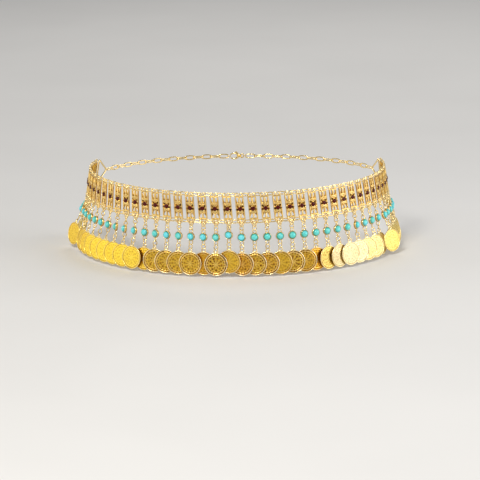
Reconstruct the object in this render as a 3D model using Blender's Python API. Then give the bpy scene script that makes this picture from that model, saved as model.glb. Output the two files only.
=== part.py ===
"""Waist chain: a band of filigree panels with a coin drop under each panel.

The chain keeps the hollow form that it has when it is worn. Its pieces are drawn flat, as
outlines in a strip where s runs along the waist from the middle of the front, h runs up from the
row of red stones and d runs out from the body. The strip is then laid on a waist surface, which
is half an ellipse in front, a flatter half ellipse behind, and flares out towards the hips.

Metres, +Z up. The front faces -Y. The origin is the middle of the waist at the red stones.
"""

import math

import bpy
import bmesh
import numpy as np
from mathutils import Vector
from mathutils.geometry import tessellate_polygon

MM = 0.001

# The waist, measured at the backs of the panels, level with the red stones
WAIST_HALF_WIDTH = 135.0 * MM
WAIST_FRONT_DEPTH = 125.0 * MM
WAIST_BACK_DEPTH = 100.0 * MM
FRONT_FLARE = math.radians(3.5)
SIDE_FLARE = math.radians(8.0)
# Below this level the drops at the sides lean further out, over the hips
HIP_LEVEL = -16.0 * MM
HIP_FLARE = math.radians(4.0)
STEP = 0.5 * MM

# The band
UNITS = 42
UNITS_IN_STRETCH = 3
PITCH = 11.0 * MM
BAND_SHIFT = -3.3 * MM
SEAM = 0.3 * MM
SHEET = 1.2 * MM
LEAN = math.radians(5.0)
LEAN_CHANGE = math.radians(1.5)

# A panel, its edge rings and its links
PANEL_HALF_WIDTH = 3.7 * MM
PANEL_TOP = 10.8 * MM
PANEL_FOOT = -9.8 * MM
LINK_HEIGHT = 2.6 * MM
RING_CREST = 3.3 * MM
RING_FLAT = 0.8 * MM
RING_OFFSET = 1.8 * MM
RING_DIP = 2.1 * MM
# Corners of the window beside the petal and of the window beside the stem, in millimetres
PETAL_WINDOW = ((2.8, 9.6), (0.6, 9.6), (2.3, 5.6))
STEM_WINDOW = ((2.9, -7.9), (0.7, -7.9), (1.4, -4.2))
STONE_RADIUS = 1.7 * MM
STONE_SIDES = 6
STONE_HEIGHT = 1.0 * MM

# A drop: two rings, a bezel and three rings, each with its middle height and half width in mm
NECK = 0.6 * MM
RINGS_ABOVE = ((-16.4, 2.0), (-20.1, 1.9))
RINGS_BELOW = ((-30.4, 1.9), (-33.9, 2.0), (-37.4, 2.0))
DROP_TOP = -14.4 * MM
DROP_FOOT = -39.9 * MM
FOOT_HALF_WIDTH = 0.9 * MM
BEZEL_LEVEL = -25.2 * MM
BEZEL_RADIUS = 3.85 * MM
CABOCHON_RADIUS = 3.2 * MM
CABOCHON_HEIGHT = 2.7 * MM
CABOCHON_SIDES = 8
CABOCHON_GAP = 0.4 * MM

# Coins
COIN_RADIUS = 10.0 * MM
COIN_THICKNESS = 0.9 * MM
COIN_SIDES = 14
COIN_LEVEL = -48.5 * MM
COIN_STAND = 1.3 * MM
COIN_TURN = math.radians(10.5)
COIN_RISE = 1.0 * MM
COIN_SINK = 1.7 * MM

# For each coin and the next one to its right: > where the first lies on top, < where the next does
COIN_LAPS = "<<<>" + "<" * 8 + "><<<<><" + ">" * 8 + "<<<" + ">>>><" + ">" * 6

# Units whose drop is caught up short or leans out, and how far, and units whose bezel or coin has
# swung round, in degrees
CAUGHT_UP = {20: 2.2 * MM}
LEANS_OUT = {3: 3.0 * MM, 35: 2.8 * MM}
SWUNG = {10: 30.0, 11: 30.0, 12: 22.0, 31: -20.0}
COIN_SWUNG = {3: -27.0, 35: 20.0}

# The closing: a yoke at each end of the band, a plain chain from each and a clasp behind
YOKE_LENGTH = 15.0 * MM
YOKE_BAR = 1.6 * MM
YOKE_TIP = 1.5 * MM
CHAIN_LINKS = 8
LINK_LENGTH = 10.4 * MM
LINK_HALF_HEIGHT = 2.3 * MM
LINK_CORNER = 2.0 * MM
LINK_HOLE_INSET = 2.0 * MM
LINK_HOLE_HALF_HEIGHT = 1.1 * MM
CHAIN_WIRE = 0.65 * MM
CLASP_HALF_HEIGHT = 3.6 * MM
CLASP_THICKNESS = 2.2 * MM
CLASP_LENGTH = 14.0 * MM
CLASP_GAP = 0.4 * MM
# The clasp's upper edge, its eye and its hook, as shares of its length and of its half height
CLASP_EDGE = ((0.0, 0.25), (0.1, 0.62), (0.26, 0.62), (0.4, 0.45), (0.56, 1.0), (0.8, 1.0), (1.0, 0.35))
CLASP_EYE = ((0.1, 0.0), (0.18, 0.3), (0.28, 0.0), (0.18, -0.3))
CLASP_HOOK = ((0.48, 0.0), (0.58, 0.55), (0.78, 0.55), (0.88, 0.0), (0.78, -0.55), (0.58, -0.55))


def waist_table():
    """Arc length against angle round the waist, from the middle of the front, past the back."""
    turn = np.radians(np.linspace(-200.0, 200.0, 16001))
    depth = np.where(np.abs(turn) < math.pi / 2, WAIST_FRONT_DEPTH, WAIST_BACK_DEPTH)
    x = WAIST_HALF_WIDTH * np.sin(turn)
    y = -depth * np.cos(turn)
    length = np.concatenate(([0.0], np.cumsum(np.hypot(np.diff(x), np.diff(y)))))
    return turn, length - np.interp(0.0, turn, length)


WAIST_TURN, WAIST_LENGTH = waist_table()
HALF_WAIST = float(np.interp(math.pi, WAIST_TURN, WAIST_LENGTH))


def waist_axes(s):
    """The waist point at s, its directions out of the body and up it, and the drops' lean out."""
    turn = float(np.interp(s, WAIST_LENGTH, WAIST_TURN))
    depth = WAIST_FRONT_DEPTH if abs(turn) < math.pi / 2 else WAIST_BACK_DEPTH
    point = Vector((WAIST_HALF_WIDTH * math.sin(turn), -depth * math.cos(turn), 0.0))
    along = Vector((WAIST_HALF_WIDTH * math.cos(turn), depth * math.sin(turn), 0.0)).normalized()
    level_out = Vector((along.y, -along.x, 0.0))
    flare = FRONT_FLARE + (SIDE_FLARE - FRONT_FLARE) * math.sin(turn) ** 2
    out = level_out * math.cos(flare) + Vector((0.0, 0.0, math.sin(flare)))
    up = -level_out * math.sin(flare) + Vector((0.0, 0.0, math.cos(flare)))
    hip = math.tan(HIP_FLARE) * math.sin(turn) ** 2
    return point, out, up, hip


def leaning(s, h):
    """The panels lean, with their feet to the right, and the drops hang straight from the feet."""
    lean = LEAN + LEAN_CHANGE * s / (UNITS * PITCH / 2)
    return s - math.tan(lean) * max(h, PANEL_FOOT - LINK_HEIGHT)


def surface(s, h, d):
    """The point that lies s along the waist, h up it and d out of it."""
    point, out, up, hip = waist_axes(s)
    return point + up * h + out * (d + hip * max(HIP_LEVEL - h, 0.0))


def on_waist(s, h, d):
    return surface(leaning(s, h), h, d)


def leaning_out(unit, h):
    """How far a drop that leans out stands off at h: evenly more, from its top to its last ring."""
    share = (DROP_TOP - h) / (DROP_TOP - RINGS_BELOW[-1][0] * MM)
    return LEANS_OUT.get(unit, 0.0) * min(max(share, 0.0), 1.0)


def seat_on_drop(unit, h, d):
    """The point of a drop at h and d, with its directions along the waist, out of it and up it."""
    s = leaning(unit_place(unit), h)
    along = (surface(s + STEP, h, d) - surface(s - STEP, h, d)).normalized()
    steps = (-STEP, 0.0, STEP)
    low, here, high = (surface(s, h + step, d + leaning_out(unit, h + step)) for step in steps)
    out = along.cross(high - low).normalized()
    return here, along, out, out.cross(along)


def unit_place(unit):
    return (unit - (UNITS - 1) / 2) * PITCH + BAND_SHIFT


def coin_lap(unit):
    """1 where the coin of this unit lies on the next one, -1 where it lies under it."""
    return 1 if COIN_LAPS[min(max(unit, 0), UNITS - 2)] == ">" else -1


def coin_set(unit):
    """How far a coin turns about its upright line, and how far it is pushed out or in."""
    before = coin_lap(unit - 1)
    after = coin_lap(unit)
    turn = COIN_TURN * (before + after) / 2 + math.radians(COIN_SWUNG.get(unit, 0.0))
    rise = (after - before) / 2
    return turn, COIN_STAND + (COIN_RISE if rise > 0 else COIN_SINK) * rise


def material(name, colour, roughness, metallic):
    made = bpy.data.materials.new(name)
    made.use_nodes = True
    shader = made.node_tree.nodes["Principled BSDF"]
    shader.inputs["Base Color"].default_value = (*colour, 1.0)
    shader.inputs["Roughness"].default_value = roughness
    shader.inputs["Metallic"].default_value = metallic
    return made


def add_object(name, bm, *materials):
    bmesh.ops.recalc_face_normals(bm, faces=bm.faces)
    mesh = bpy.data.meshes.new(name)
    bm.to_mesh(mesh)
    bm.free()
    for one in materials:
        mesh.materials.append(one)
    made = bpy.data.objects.new(name, mesh)
    bpy.context.scene.collection.objects.link(made)
    return made


def fill(bm, loops):
    """Triangles between an outline and the holes in it, each a list of (flat point, vertex)."""
    flat = [[Vector((s, h, 0.0)) for (s, h), _ in loop] for loop in loops]
    corners = [vertex for loop in loops for _, vertex in loop]
    for triangle in tessellate_polygon(flat):
        bm.faces.new([corners[index] for index in triangle])


def add_sheet(bm, outline, holes, stones=(), thickness=SHEET):
    """A pierced sheet laid on the waist, from (s, h, push) points, with stones raised on it."""
    fronts = []
    backs = []
    for loop in [outline, *holes]:
        back = [bm.verts.new(on_waist(s, h, push)) for s, h, push in loop]
        front = [bm.verts.new(on_waist(s, h, push + thickness)) for s, h, push in loop]
        for index, vertex in enumerate(back):
            bm.faces.new((vertex, back[index - 1], front[index - 1], front[index]))
        places = [(s, h) for s, h, _ in loop]
        backs.append(list(zip(places, back)))
        fronts.append(list(zip(places, front)))
    for middle in stones:
        fronts.append(add_stone(bm, middle, thickness))
    fill(bm, backs)
    fill(bm, fronts)


def add_stone(bm, middle, thickness):
    """A faceted stone on the sheet, returned as the hole that it makes in the sheet's front."""
    foot = []
    crown = []
    for index in range(STONE_SIDES):
        angle = 2 * math.pi * index / STONE_SIDES
        s = middle + STONE_RADIUS * math.cos(angle)
        h = STONE_RADIUS * math.sin(angle)
        foot.append(((s, h), bm.verts.new(on_waist(s, h, thickness))))
        s = middle + 0.6 * STONE_RADIUS * math.cos(angle)
        crown.append(bm.verts.new(on_waist(s, 0.6 * h, thickness + STONE_HEIGHT)))
    for index in range(STONE_SIDES):
        before = foot[index - 1][1]
        side = bm.faces.new((before, foot[index][1], crown[index], crown[index - 1]))
        side.material_index = 1
    bm.faces.new(crown).material_index = 1
    return foot


def drop_side(unit):
    """The right edge of a drop from top to foot, as (half width, h, push out)."""
    _, push = coin_set(unit)
    lift = CAUGHT_UP.get(unit, 0.0)
    bezel = BEZEL_LEVEL + lift
    half = BEZEL_RADIUS * math.sqrt(0.5)
    rings_above = [(h * MM + lift * share, w * MM) for (h, w), share in zip(RINGS_ABOVE, (0.35, 0.8))]
    rings_below = [(h * MM + lift, w * MM) for h, w in RINGS_BELOW]
    edge = [(NECK, DROP_TOP)]
    for here, after in zip(rings_above, [*rings_above[1:], (bezel + BEZEL_RADIUS, 0.0)]):
        edge.append((here[1], here[0]))
        edge.append((NECK, (here[0] + after[0]) / 2 if after[1] else after[0] - 0.1 * MM))
    edge += [(half, bezel + half), (BEZEL_RADIUS, bezel), (half, bezel - half)]
    edge.append((NECK, bezel - BEZEL_RADIUS + 0.1 * MM))
    for here, after in zip(rings_below, [*rings_below[1:], None]):
        edge.append((here[1], here[0]))
        if after:
            edge.append((NECK, (here[0] + after[0]) / 2))
    edge.append((FOOT_HALF_WIDTH, DROP_FOOT + lift))
    start = bezel - BEZEL_RADIUS
    finish = rings_below[-1][0]
    return [(w, h, push * min(max((start - h) / (start - finish), 0.0), 1.0)) for w, h in edge]


def swing(unit, width, h):
    """Where a bezel's edge goes when the bezel swings round: nearer the middle, and in or out."""
    angle = math.radians(SWUNG.get(unit, 0.0))
    if abs(width) <= 2.5 * MM or abs(h - BEZEL_LEVEL) > BEZEL_RADIUS:
        angle = 0.0
    return width * math.cos(angle), width * math.sin(angle)


def drop_points(unit, side):
    middle = unit_place(unit)
    points = []
    for width, h, push in drop_side(unit):
        across, more = swing(unit, side * width, h)
        points.append((middle + across, h, push + more + leaning_out(unit, h)))
    return points


def stretch_outline(units):
    """The outer edge of neighbouring units: over the top rings, and back along the drops."""
    ring_top = PANEL_TOP + RING_CREST
    link_top = PANEL_TOP + LINK_HEIGHT
    link_foot = PANEL_FOOT - LINK_HEIGHT
    last = units[-1]
    top = []
    foot = []
    for unit in units:
        middle = unit_place(unit)
        top.append((middle - PANEL_HALF_WIDTH, link_top, 0.0))
        for side in (-1, 1):
            ring = middle + side * RING_OFFSET
            top += [(ring - RING_FLAT, ring_top, 0.0), (ring + RING_FLAT, ring_top, 0.0)]
            if side < 0:
                top.append((middle, PANEL_TOP + RING_DIP, 0.0))
        top.append((middle + PANEL_HALF_WIDTH, link_top, 0.0))
    if last < UNITS - 1:
        end = unit_place(last) + PITCH - PANEL_HALF_WIDTH - SEAM
        right = unit_place(last) + PANEL_HALF_WIDTH
        top += [(end, link_top, 0.0), (end, PANEL_TOP, 0.0), (right, PANEL_TOP, 0.0)]
        top += [(right, PANEL_FOOT, 0.0), (end, PANEL_FOOT, 0.0), (end, link_foot, 0.0)]
    for unit in reversed(units):
        middle = unit_place(unit)
        foot.append((middle + PANEL_HALF_WIDTH, link_foot, 0.0))
        foot += drop_points(unit, 1)
        foot += reversed(drop_points(unit, -1))
        foot.append((middle - PANEL_HALF_WIDTH, link_foot, 0.0))
    return top + foot


def stretch_holes(units):
    """The windows of each panel, and the gap between each panel and the next."""
    holes = []
    for unit in units:
        middle = unit_place(unit)
        for side in (-1, 1):
            for corners in (PETAL_WINDOW, STEM_WINDOW):
                holes.append([(middle + side * s * MM, h * MM, 0.0) for s, h in corners])
        if unit != units[-1]:
            left = middle + PANEL_HALF_WIDTH
            right = middle + PITCH - PANEL_HALF_WIDTH
            gap = [(left, PANEL_TOP), (right, PANEL_TOP), (right, PANEL_FOOT), (left, PANEL_FOOT)]
            holes.append([(s, h, 0.0) for s, h in gap])
    return holes


def add_coin(bm, unit):
    """A round coin, turned and set in or out so that it laps its neighbours."""
    turn, push = coin_set(unit)
    level = COIN_LEVEL + CAUGHT_UP.get(unit, 0.0)
    middle, along, out, up = seat_on_drop(unit, level, SHEET / 2 + push)
    across = along * math.cos(turn) + out * math.sin(turn)
    facing = out * math.cos(turn) - along * math.sin(turn)
    rims = ([], [])
    for index in range(COIN_SIDES):
        angle = 2 * math.pi * (index + 0.5) / COIN_SIDES
        edge = middle + (across * math.sin(angle) + up * math.cos(angle)) * COIN_RADIUS
        for rim, side in zip(rims, (-0.5, 0.5)):
            rim.append(bm.verts.new(edge + facing * COIN_THICKNESS * side))
    for index in range(COIN_SIDES):
        bm.faces.new((rims[0][index - 1], rims[0][index], rims[1][index], rims[1][index - 1]))
    for rim in rims:
        bm.faces.new(rim)


def add_stretch(number, units, gold, garnet):
    """Neighbouring panels with their links and drops, and their coins joined on."""
    bm = bmesh.new()
    stones = [unit_place(unit) for unit in units]
    add_sheet(bm, stretch_outline(units), stretch_holes(units), stones)
    stretch = add_object(f"panels_and_drops_{number:02d}", bm, gold, garnet)
    bm = bmesh.new()
    for unit in units:
        add_coin(bm, unit)
    coins = add_object(f"coins_{number:02d}", bm, gold)
    coins.hide_render = True
    coins.display_type = "WIRE"
    joined = stretch.modifiers.new("Coins", "BOOLEAN")
    joined.operation = "UNION"
    joined.solver = "EXACT"
    joined.object = coins
    return stretch


def add_cabochon(unit, turquoise):
    """A domed stone just in front of its bezel, turned as the bezel is."""
    bm = bmesh.new()
    level = BEZEL_LEVEL + CAUGHT_UP.get(unit, 0.0)
    angle = math.radians(SWUNG.get(unit, 0.0))
    middle, along, out, up = seat_on_drop(unit, level, SHEET / 2)
    across = along * math.cos(angle) + out * math.sin(angle)
    facing = out * math.cos(angle) - along * math.sin(angle)
    seat = middle + facing * (SHEET / 2 + CABOCHON_GAP)
    rings = []
    for share, rise in ((1.0, 0.0), (0.74, 0.66)):
        ring = []
        for index in range(CABOCHON_SIDES):
            turn = 2 * math.pi * index / CABOCHON_SIDES
            spoke = across * math.cos(turn) + up * math.sin(turn)
            place = seat + spoke * CABOCHON_RADIUS * share + facing * CABOCHON_HEIGHT * rise
            ring.append(bm.verts.new(place))
        rings.append(ring)
    crown = bm.verts.new(seat + facing * CABOCHON_HEIGHT)
    for index in range(CABOCHON_SIDES):
        bm.faces.new((rings[0][index - 1], rings[0][index], rings[1][index], rings[1][index - 1]))
        bm.faces.new((rings[1][index - 1], rings[1][index], crown))
    bm.faces.new(rings[0])
    return add_object(f"turquoise_{unit + 1:02d}", bm, turquoise)


def chain_run(side, reach):
    """A yoke and a plain chain, from one end of the band towards the back, as outline and holes."""
    start = (UNITS - 1) * PITCH / 2 + side * BAND_SHIFT + PANEL_HALF_WIDTH + SEAM
    bar = start + PITCH - 2 * PANEL_HALF_WIDTH - SEAM
    tip = bar + YOKE_LENGTH
    top = PANEL_TOP + LINK_HEIGHT
    foot = PANEL_FOOT - LINK_HEIGHT
    upper = [(start, top), (bar, top), (tip, YOKE_TIP)]
    lower = [(start, foot), (bar, foot), (tip, -YOKE_TIP)]
    holes = [
        [
            (bar + YOKE_BAR, top - 3 * YOKE_BAR),
            (tip - 2 * YOKE_BAR, 0.4 * YOKE_BAR),
            (tip - 2 * YOKE_BAR, -0.4 * YOKE_BAR),
            (bar + YOKE_BAR, foot + 3 * YOKE_BAR),
        ]
    ]
    step = (reach - tip - LINK_LENGTH) / (CHAIN_LINKS - 0.5)
    for link in range(CHAIN_LINKS):
        left = tip + step * (link + 0.5)
        right = left + LINK_LENGTH
        for edge, sign in ((upper, 1), (lower, -1)):
            edge.append((left, sign * CHAIN_WIRE))
            edge.append((left + LINK_CORNER, sign * LINK_HALF_HEIGHT))
            edge.append((right - LINK_CORNER, sign * LINK_HALF_HEIGHT))
            edge.append((right, sign * CHAIN_WIRE))
        low = left + LINK_HOLE_INSET
        high = right - LINK_HOLE_INSET
        hole = LINK_HOLE_HALF_HEIGHT
        holes.append([(low, hole), (high, hole), (high, -hole), (low, -hole)])
    inner_foot = [(start, foot + LINK_HEIGHT), (bar, foot + LINK_HEIGHT)]
    inner_top = [(bar, top - LINK_HEIGHT), (start, top - LINK_HEIGHT)]
    outline = upper + lower[::-1] + inner_foot + inner_top
    loops = [[(side * s, h, 0.0) for s, h in loop] for loop in (outline, *holes)]
    return loops[0], loops[1:]


def add_chain(name, side, reach, gold):
    bm = bmesh.new()
    outline, holes = chain_run(side, reach)
    add_sheet(bm, outline, holes)
    return add_object(name, bm, gold)


def add_clasp(start, finish, gold):
    """A lobster clasp: an eye, a waisted neck and a closed hook."""
    length = finish - start
    lower = [(along, -high) for along, high in reversed(CLASP_EDGE)]
    loops = []
    for shares in ((*CLASP_EDGE, *lower), CLASP_EYE, CLASP_HOOK):
        loops.append([(start + length * a, CLASP_HALF_HEIGHT * b, 0.0) for a, b in shares])
    bm = bmesh.new()
    add_sheet(bm, loops[0], loops[1:], (), CLASP_THICKNESS)
    return add_object("clasp", bm, gold)


def build():
    for old in list(bpy.data.objects):
        bpy.data.objects.remove(old, do_unlink=True)
    gold = material("gold plate", (0.83, 0.57, 0.16), 0.3, 1.0)
    garnet = material("red stone", (0.12, 0.008, 0.01), 0.12, 0.0)
    turquoise = material("turquoise", (0.12, 0.66, 0.66), 0.2, 0.0)
    for number, first in enumerate(range(0, UNITS, UNITS_IN_STRETCH), 1):
        add_stretch(number, list(range(first, first + UNITS_IN_STRETCH)), gold, garnet)
    for unit in range(UNITS):
        add_cabochon(unit, turquoise)
    clasp_start = HALF_WAIST - CLASP_LENGTH / 2
    clasp_finish = HALF_WAIST + CLASP_LENGTH / 2
    add_chain("closing_chain_right", 1, clasp_start - CLASP_GAP, gold)
    add_chain("closing_chain_left", -1, 2 * HALF_WAIST - clasp_finish - CLASP_GAP, gold)
    add_clasp(clasp_start, clasp_finish, gold)


build()
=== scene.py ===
"""Waist chain, dressed: its panels, stones, rings, coins and closing chain as fine surfaces.

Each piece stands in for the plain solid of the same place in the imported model. It is worked out
on the same waist: s runs along it from the middle of the front, h runs up from the row of red
stones, d runs out from the body. Lengths are metres, except where a name or a comment says mm.
"""

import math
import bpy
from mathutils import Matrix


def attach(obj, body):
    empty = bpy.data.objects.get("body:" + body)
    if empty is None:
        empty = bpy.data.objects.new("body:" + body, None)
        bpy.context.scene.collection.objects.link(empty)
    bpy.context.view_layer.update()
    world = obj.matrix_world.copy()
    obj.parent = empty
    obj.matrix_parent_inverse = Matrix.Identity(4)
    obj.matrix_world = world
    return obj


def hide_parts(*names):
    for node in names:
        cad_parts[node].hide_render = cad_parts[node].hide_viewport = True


bl_info = {
    "name": "Waist Chain",
    "version": (1, 0, 0),
    "blender": (4, 5, 0),
    "location": "View3D > Sidebar > Waist Chain",
    "description": "Filigree waist chain with turquoise drops and coins, in its worn form",
    "category": "Add Mesh",
}

from collections import namedtuple

import bpy
import numpy as np
from mathutils import Matrix, Vector

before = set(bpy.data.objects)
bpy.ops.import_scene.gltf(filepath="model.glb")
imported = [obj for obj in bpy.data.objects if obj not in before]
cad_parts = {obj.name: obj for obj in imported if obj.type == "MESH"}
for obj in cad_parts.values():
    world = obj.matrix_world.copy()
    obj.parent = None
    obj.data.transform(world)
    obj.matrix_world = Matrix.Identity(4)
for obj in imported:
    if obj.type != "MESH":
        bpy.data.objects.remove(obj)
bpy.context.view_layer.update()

MM = 0.001

# The waist, as the solids have it
WAIST_HALF_WIDTH = 135.0 * MM
WAIST_FRONT_DEPTH = 125.0 * MM
WAIST_BACK_DEPTH = 100.0 * MM
FRONT_FLARE = math.radians(3.5)
SIDE_FLARE = math.radians(8.0)
# Below this level the drops at the sides lean further out, over the hips
HIP_LEVEL = -16.0 * MM
HIP_FLARE = math.radians(4.0)
STEP = 0.5 * MM

# The band and its lean
UNITS = 42
UNITS_IN_STRETCH = 3
PITCH = 11.0 * MM
BAND_SHIFT = -3.3 * MM
SHEET = 1.2 * MM
LEAN = math.radians(5.0)
LEAN_CHANGE = math.radians(1.5)
LEAN_FOOT = -12.4 * MM

# Panels. The columns of a panel part along one line on each side, which opens into two windows.
PANEL_HALF_WIDTH_MM = 3.85
PANEL_FLOOR_MM = 1.0
PANEL_TOP_MM = 10.8
# Height in mm where a range of rows starts, its number of rows, and whether it lies in a window
PANEL_ROWS = ((-9.8, 6, 0), (-8.2, 13, 1), (-4.3, 27, 0), (5.5, 15, 1), (9.85, 4, 0))
# Height, middle of the parting and half its gap, in mm: the stem windows, then the petal slots
PARTING = (
    (-9.8, 1.75, 0.1), (-8.2, 1.8, 0.5), (-7.95, 1.85, 1.08), (-7.0, 1.75, 1.05),
    (-6.0, 1.55, 0.85), (-5.0, 1.28, 0.45), (-4.3, 1.2, 0.1), (-3.0, 1.6, 0.1), (0.0, 1.95, 0.1),
    (4.2, 1.8, 0.1), (5.5, 1.62, 0.1), (6.3, 1.64, 0.4), (7.5, 1.75, 0.66), (8.7, 1.8, 0.86),
    (9.5, 1.78, 1.05), (9.85, 1.7, 0.55), (10.8, 1.7, 0.1),
)
RAIL_COLUMNS = 6
MIDDLE_COLUMNS = 12
# Scrolls, buds and blind holes as (middle s, middle h, radius) in mm, mirrored where s isn't 0
SCROLLS = ((1.5, 4.1, 0.95), (1.4, -3.1, 0.85))
BUDS = ((0.0, 5.0, 0.6), (0.0, 3.2, 0.5), (0.0, -2.9, 0.5), (2.9, 0.75, 0.4))
# Blind holes get the deepest painted shade
PITS = ((2.4, 2.2, 0.6), (1.75, 1.5, 0.45), (2.5, -0.75, 0.85))

# Pairs of rings at a panel's head and foot, and the pair that its drop hangs from: distance from
# the middle and height in mm, turn and slope in radians, half width and half height in mm
EYELET_TOP_MM = 12.35
EYELET_FOOT_MM = -11.4
HEAD_RINGS = (1.9, EYELET_TOP_MM, 0.12, 0.0, 1.52, 1.52)
FOOT_RINGS = (1.95, EYELET_FOOT_MM, 0.3, math.radians(26.0), 1.3, 1.75)
STRANDS = (1.0, -13.0, -0.7, math.radians(32.0), 1.2, 1.6)

# Links between panels. A share and a power of the oval's height flatten the foot of a link.
LINK_HALF_LENGTH_MM = 3.05
LINK_HALF_HEIGHT_MM = 1.4
LINK_FOOT_SHARE = 0.75
LINK_FOOT_POWER = 0.4
# Each link is tipped forward and rolled by a random angle between these, in degrees
LINK_TIPS = (-38.0, -12.0)
LINK_ROLLS = (-7.0, 7.0)

# The rings of a drop from its top: height, half width and half height in mm, turn in degrees,
# whether it turns one way and the other from drop to drop, and the shares that it takes of the
# drop's lift and of its coin's push
DROP_RINGS = (
    (-14.3, 1.6, 1.7, 12.0, False, 0.1, 0.0),
    (-17.25, 1.75, 1.8, -26.0, True, 0.4, 0.0),
    (-20.25, 1.6, 1.8, 26.0, True, 0.85, 0.0),
    (-30.25, 1.65, 1.9, 30.0, True, 1.0, 0.15),
    (-33.65, 1.8, 1.95, -22.0, True, 1.0, 0.6),
    (-37.0, 1.75, 1.8, 12.0, False, 1.0, 1.0),
)
# Ranges of random angles, in degrees, that are added to a ring's turn and to its roll
RING_SWINGS = (-14.0, 14.0)
RING_ROLLS = (-9.0, 9.0)
DROP_TOP = -14.4 * MM
DROP_END = -37.4 * MM
BEZEL_LEVEL = -25.2 * MM
# The cup of a bezel from its back to the seat of the stone: share of the radius, height in mm and
# share of the fluting
BEZEL_ROWS = (
    (0.0, -0.6, 0.0), (0.86, -0.6, 0.0), (0.95, -0.4, 0.2), (0.97, -0.1, 1.0), (0.97, 0.4, 1.0),
    (0.97, 0.9, 1.0), (0.95, 1.25, 0.6), (0.89, 1.45, 0.0), (0.83, 1.35, 0.0), (0.80, 0.9, 0.0),
    (0.0, 0.9, 0.0),
)
BEZEL_SIDES = 48
FLUTING = 0.022
# Painted shade in every other flute of a bezel
FLUTING_SHADE = 0.22
CABOCHON_GAP_MM = 0.4
# Domes of the stones: rows, radius and level of the foot as shares of the dome's, and the powers
# of the cosine and the sine that make its radius and its height
RED_DOME = (7, 0.95, -0.3, 0.7, 1.0)
TURQUOISE_DOME = (9, 0.97, -0.12, 0.92, 1.05)

# Coins
COIN_SIDES = 144
# Distances of the field's rows from the middle, as shares of the radius
FIELD_ROWS = (
    0.0, 0.07, 0.14, 0.2, 0.26, 0.32, 0.38, 0.43, 0.47, 0.51, 0.55, 0.59, 0.63, 0.67, 0.7, 0.73,
    0.76, 0.79, 0.82, 0.85, 0.88, 0.905, 0.92,
)
# The groove inside the rim, which gets painted shade: its middle and its width as shares of the
# radius
GROOVE_MIDDLE = 0.905
GROOVE_WIDTH = 0.028
# The rim: its rows, how far it rises above the field, and its middle and half width as shares
RIM_ROWS = 7
RIM_RISE = 0.3 * MM
RIM_MIDDLE = 0.963
RIM_HALF_WIDTH = 0.037
# Rows of the back: share of the radius, height above the back in mm, and how much painted shade it
# gets
COIN_BACK = (
    (0.998, 0.15, 0.0), (0.98, 0.0, 0.0), (0.93, 0.0, 0.0), (0.91, 0.12, 0.5), (0.5, 0.12, 0.0),
    (0.0, 0.12, 0.0),
)
# A coin's pale painted highlight at shares of its radius: the boss, two rings of crests and the rim
COIN_CRESTS = (
    (0.0, 0.2), (0.56, 0.0), (0.6, 0.3), (0.64, 0.0), (0.74, 0.0), (0.8, 0.7), (0.85, 0.0),
    (0.93, 0.0), (0.94, 1.0),
)
# The lug on top: half width, half height and distance from the middle as shares of the radius,
# and half thickness as a share of the coin's
LUG = (0.2, 0.13, 0.985, 0.7)
COIN_LEVEL = -48.75 * MM
COIN_STAND = 1.3 * MM
COIN_TURN = math.radians(10.5)
COIN_RISE = 1.0 * MM
COIN_SINK = 1.7 * MM
COIN_LAPS = "<<<>" + "<" * 8 + "><<<<><" + ">" * 8 + "<<<" + ">>>><" + ">" * 6
# For each coin from left to right, in tenths: its relief, which also scales its painted shade and
# highlight, and its painted light, low for a pale painted glare and high for a reddish painted
# shade
COIN_RELIEF = "22211111111122" + "66563937773963211111" + "11111222"
COIN_PAINTED_LIGHT = "44455554444445" + "66668668676678311122" + "23333333"

# Units whose drop is caught up short or leans out, and how far, and units whose bezel or coin has
# swung round, in degrees
CAUGHT_UP = {20: 2.2 * MM}
LEANS_OUT = {3: 3.0 * MM, 35: 2.8 * MM}
SWUNG = {10: 30.0, 11: 30.0, 12: 22.0, 31: -20.0}
COIN_SWUNG = {3: -27.0, 35: 20.0}
# Bezels near the middle, from unit 14 on, that face a little to the left, in degrees
FACED = dict(enumerate((14.0, 14.0, 12.0, 14.0, 16.0, 20.0, 20.0, 18.0, 12.0, 8.0), 14))

# The closing. A yoke starts this far beyond the edge of the last panel.
YOKE_START = 3.3 * MM
PANEL_EDGE = 4.0 * MM
YOKE_LENGTH = 15.0 * MM
YOKE_TOP_MM = 13.0
YOKE_FOOT_MM = -12.0
YOKE_OVERRUN = 1.0 * MM
CHAIN_LINKS = 8
LINK_LENGTH = 10.4 * MM
# How full the sides of the chain's links are. Its two kinds of link, which hang in turn: half
# height, tip in radians, and how many steps of the chain it lies back
LINK_FULLNESS = 2.6
LINK_KINDS = ((1.75 * MM, math.radians(12.0), 0.0), (1.6 * MM, math.radians(82.0), 0.5))
CLASP_LENGTH = 14.0 * MM
CLASP_GAP = 0.4 * MM
# How far the clasp stands out, and half sizes and places along it of its claw and its eye. The
# claw's wire: its even part, and what is added towards the eye and on top.
CLASP_STAND = 1.1 * MM
CLAW = (4.0 * MM, 2.75 * MM, 9.6 * MM)
CLAW_WIRE_MM = (0.85, 0.35, 0.1)
EYE = (1.75 * MM, 1.75 * MM, 2.35 * MM)
EYE_WIRE = 0.6 * MM
# Half sizes of a knob, and the neck, the thumb piece and the pivot made of it: size and place
KNOB = (0.95 * MM, 0.8 * MM)
KNOBS = (
    ((1.9, 1.35, 1.3), (4.6 * MM, 0.0, 0.0)),
    ((1.0, 1.0, 1.0), (8.2 * MM, 3.3 * MM, 0.5 * MM)),
    ((0.8, 0.8, 1.6), (6.6 * MM, 0.2 * MM, 0.0)),
)

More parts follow.
